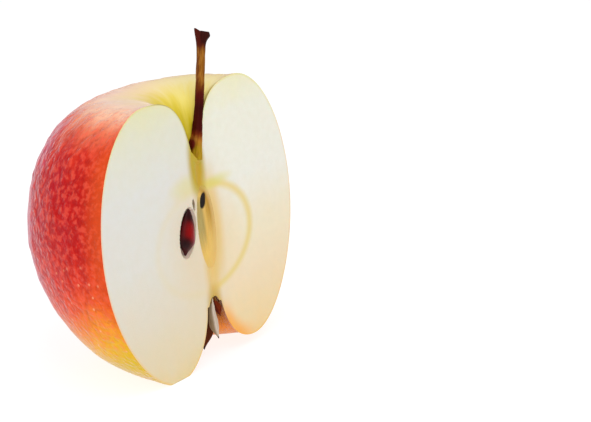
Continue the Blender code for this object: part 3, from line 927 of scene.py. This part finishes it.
def makeSepal(name, values):
    # a thin blade: flat oval rings along a bent line, widest part of the way down, narrowing to the tip,
    # with a midrib, curled margins and a crumpled surface
    root, bend, tip, heading, halfWidth, widest, curl, shade, foldShade = values
    turn = math.radians(heading)
    sideways = np.array([math.cos(turn), math.sin(turn), 0.0])
    outward = np.array([math.sin(turn), -math.cos(turn), 0.0])
    along = np.linspace(0.0, 1.0, calyx["rings"])[:, None]
    around = np.linspace(0.0, 2 * math.pi, calyx["sides"], endpoint=False)[None, :]
    weights = ((1 - along) ** 2, 2 * (1 - along) * along, along**2)
    line = sum(weight * np.array(corner) for weight, corner in zip(weights, (root, bend, tip)))
    closing = np.sqrt(np.clip(1 - (2 * along - 1) ** 8, 0.0, 1.0))
    swell = np.where(along < widest, 0.42 + 0.58 * smoothStep(0.0, widest, along),
                     1 - 0.85 * smoothStep(widest, 1.0, along))
    width = halfWidth * swell * closing
    across = np.cos(around) * width
    seed = sum(ord(letter) for letter in name)
    crumple = 0.16 * softNoise(across * 1.6 + 30, along * 9 + 0 * across, seed) * closing
    margin = curl * (across / halfWidth) ** 2
    midrib = 0.2 * bell(across, 0.0, 0.25) * (1 - along)
    through = np.sin(around) * calyx["halfThickness"] * closing * (1 - 0.4 * along)
    through = through + crumple - margin + midrib
    points = line[:, None, :] + outward * through[:, :, None] + sideways * across[:, :, None]
    rings, sides = points.shape[:2]
    piece = makeMesh(name + "_leaf", standing(points.reshape(-1, 3)), gridFaces(rings, sides, closed=True))
    storePlaces(piece, "leafPlace", np.stack([across, through, along + 0 * across], 2).reshape(-1, 3))
    closeSeams(piece)
    piece.data.materials.append(leafMaterial(name + "_dry", shade, foldShade, halfWidth))
    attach(piece, "root")
    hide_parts(name)


def leafMaterial(name, shade, foldShade, halfWidth):
    material, tree, shader = shaderOf(name, Roughness=0.75, Specular_IOR_Level=0.08)
    place = readPlace(tree, "leafPlace")
    across, _, up = parted(tree, place)
    veins = patches(tree, place, (0.3, 1.0, 1.2), 0.25)
    # the folded left margin takes the darker colour: painted shade along that side
    folded = inverse(tree, step(tree, across, -0.35 * halfWidth, 0.15 * halfWidth))
    base = paintOver(tree, shade, (folded, 0.85, foldShade), (veins, 0.35, foldShade),
                     (step(tree, up, 0.9, 0.97), 1.0, calyx["tip"]))
    finishShader(tree, shader, base, heights=[(veins, 0.5, 0.0003)])
    return material


stamenTuft = {"count": 5, "length": 1.4, "radius": 0.2, "tubeRadius": 2.2, "rings": 40, "sides": 14,
              "shade": colour(176, 128, 50), "shadow": colour(110, 72, 28)}


def makeStamens():
    # threads from the basin floor that lean together, radius thinner upwards, with a small knob at the tip
    s = stamenTuft
    dry = leafMaterial("stamen_dry", s["shade"], s["shadow"], s["radius"])
    along = np.linspace(0.0, 1.0, s["rings"])[:, None]
    around = np.linspace(0.0, 2 * math.pi, s["sides"], endpoint=False)[None, :]
    for number in range(s["count"]):
        turn = math.pi * (number + 0.5) / s["count"]
        spread = s["tubeRadius"] * (0.5 - 0.25 * along) + 0.05 * np.sin(7 * along + number)
        closing = np.sqrt(np.clip(1 - (2 * along - 1) ** 10, 0.0, 1.0))
        knob = 0.35 * bell(along, 0.93, 0.05)
        radius = s["radius"] * (1 - 0.5 * along + knob) * closing * (1 + 0.1 * np.cos(3 * around))
        x = spread * math.cos(turn) + radius * np.cos(around)
        y = spread * math.sin(turn) + radius * np.sin(around)
        z = apple["basinDepth"] + calyx["gap"] + s["length"] * along + 0 * around
        points = np.stack([x, y, z], 2)
        rings, sides = points.shape[:2]
        name = f"stamen_{number + 1}"
        quads = gridFaces(rings, sides, closed=True)
        piece = makeMesh(name + "_thread", standing(points.reshape(-1, 3)), quads)
        leafPlace = np.stack([radius * np.cos(around), radius * np.sin(around), along + 0 * around], 2)
        storePlaces(piece, "leafPlace", leafPlace.reshape(-1, 3))
        closeSeams(piece)
        piece.data.materials.append(dry)
        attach(piece, "root")
        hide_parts(name)


for sepalName, sepalValues in calyx["sepals"].items():
    makeSepal(sepalName, sepalValues)
makeStamens()
print("calyx: 3 sepals and", stamenTuft["count"], "stamens")


studio = {
    "floorSize": 60.0, "floorShade": (0.3, 0.3, 0.3, 1.0), "floorGlow": 0.8,
    "worldStrength": 0.6,
    "cameraPlace": (-0.270047, -0.212266, 0.125913),   # metres
    "cameraHeading": 58.158, "cameraDip": 15.022,   # degrees: right of +Y, and down
    "lens": 89.56,
    # name: place, target, size, power, colour
    "lights": {
        "above": ((-0.15, -0.25, 0.75), (0.0, 0.0, 0.03), 0.5, 1.7, (1.0, 1.0, 1.0)),
        "left": ((-0.75, 0.15, 0.35), (0.0, 0.0, 0.03), 0.35, 1.8, (1.0, 0.97, 1.0)),
        "front": ((-0.5, -0.7, 0.45), (0.0, 0.0, 0.03), 0.5, 0.9, (1.0, 1.0, 1.0)),
    },
}


def makeStage():
    half = studio["floorSize"] / 2
    corners = np.array([(-half, -half, 0.0), (half, -half, 0.0), (half, half, 0.0), (-half, half, 0.0)])
    floor = makeMesh("floor", corners, np.array([[0, 1, 2, 3]]))
    floor.data.materials.append(shaderOf(
        "floor_paint", Roughness=0.9, Specular_IOR_Level=0.1, Base_Color=studio["floorShade"],
        Emission_Color=(1.0, 1.0, 1.0, 1.0), Emission_Strength=studio["floorGlow"])[0])
    world = bpy.data.worlds.new("studio")
    bpy.context.scene.world = world
    world.use_nodes = True
    background = world.node_tree.nodes["Background"]
    background.inputs["Color"].default_value = (1.0, 1.0, 1.0, 1.0)
    background.inputs["Strength"].default_value = studio["worldStrength"]
    for name, (place, target, size, power, shade) in studio["lights"].items():
        lamp = bpy.data.lights.new(name, "AREA")
        lamp.size = size
        lamp.energy = power
        lamp.color = shade
        made = bpy.data.objects.new(name, lamp)
        made.location = place
        made.rotation_euler = (Vector(target) - Vector(place)).to_track_quat("-Z", "Y").to_euler()
        bpy.context.scene.collection.objects.link(made)


def makeCamera():
    lens = bpy.data.cameras.new("camera")
    lens.sensor_width = 36.0
    lens.lens = studio["lens"]
    lens.clip_start = 0.01
    made = bpy.data.objects.new("camera", lens)
    made.location = studio["cameraPlace"]
    made.rotation_euler = (
        math.radians(90 - studio["cameraDip"]), 0.0, -math.radians(studio["cameraHeading"]))
    bpy.context.scene.collection.objects.link(made)
    bpy.context.scene.camera = made


makeStage()
makeCamera()
bpy.context.scene.view_settings.view_transform = "Standard"
print("stage, lights and camera")
